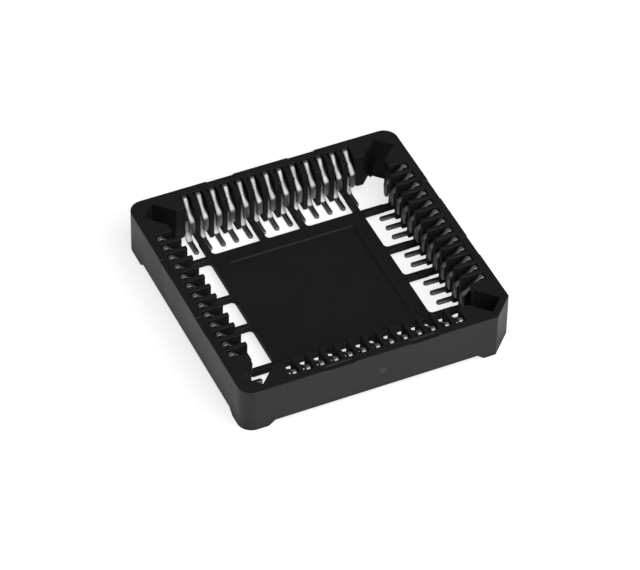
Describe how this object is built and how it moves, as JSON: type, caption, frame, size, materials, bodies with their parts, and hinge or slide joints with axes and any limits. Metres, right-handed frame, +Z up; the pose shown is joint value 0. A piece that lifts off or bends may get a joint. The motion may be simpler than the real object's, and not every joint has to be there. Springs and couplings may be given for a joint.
{
  "type": "chip carrier socket",
  "caption": "Low square surface-mount socket for a leaded chip carrier: black moulded frame with a windowed floor, ribbed walls and a ring of bent spring contacts.",
  "frame": {"origin": "centre of the square body in the board plane, at the bottoms of the feet", "axes": "+Z up out of the board and out of the cavity mouth; the bevelled first-contact corner is at +X, -Y; contact_01 is in the middle of the -Y row and the numbers run anticlockwise seen from above"},
  "size_m": [0.0252, 0.0252, 0.0044],
  "materials": {
    "housing_plastic": "moulded, faintly satin",
    "contact_metal": "matt tin plate"
  },
  "bodies": {
    "root": {"housing": "housing_plastic", "contact_01": "contact_metal", "contact_02": "contact_metal", "contact_03": "contact_metal", "contact_04": "contact_metal", "contact_05": "contact_metal", "contact_06": "contact_metal", "contact_07": "contact_metal", "contact_08": "contact_metal", "contact_09": "contact_metal", "contact_10": "contact_metal", "contact_11": "contact_metal", "contact_12": "contact_metal", "contact_13": "contact_metal", "contact_14": "contact_metal", "contact_15": "contact_metal", "contact_16": "contact_metal", "contact_17": "contact_metal", "contact_18": "contact_metal", "contact_19": "contact_metal", "contact_20": "contact_metal", "contact_21": "contact_metal", "contact_22": "contact_metal", "contact_23": "contact_metal", "contact_24": "contact_metal", "contact_25": "contact_metal", "contact_26": "contact_metal", "contact_27": "contact_metal", "contact_28": "contact_metal", "contact_29": "contact_metal", "contact_30": "contact_metal", "contact_31": "contact_metal", "contact_32": "contact_metal", "contact_33": "contact_metal", "contact_34": "contact_metal", "contact_35": "contact_metal", "contact_36": "contact_metal", "contact_37": "contact_metal", "contact_38": "contact_metal", "contact_39": "contact_metal", "contact_40": "contact_metal", "contact_41": "contact_metal", "contact_42": "contact_metal", "contact_43": "contact_metal", "contact_44": "contact_metal", "contact_45": "contact_metal", "contact_46": "contact_metal", "contact_47": "contact_metal", "contact_48": "contact_metal", "contact_49": "contact_metal", "contact_50": "contact_metal", "contact_51": "contact_metal", "contact_52": "contact_metal"}
  },
  "joints": []
}
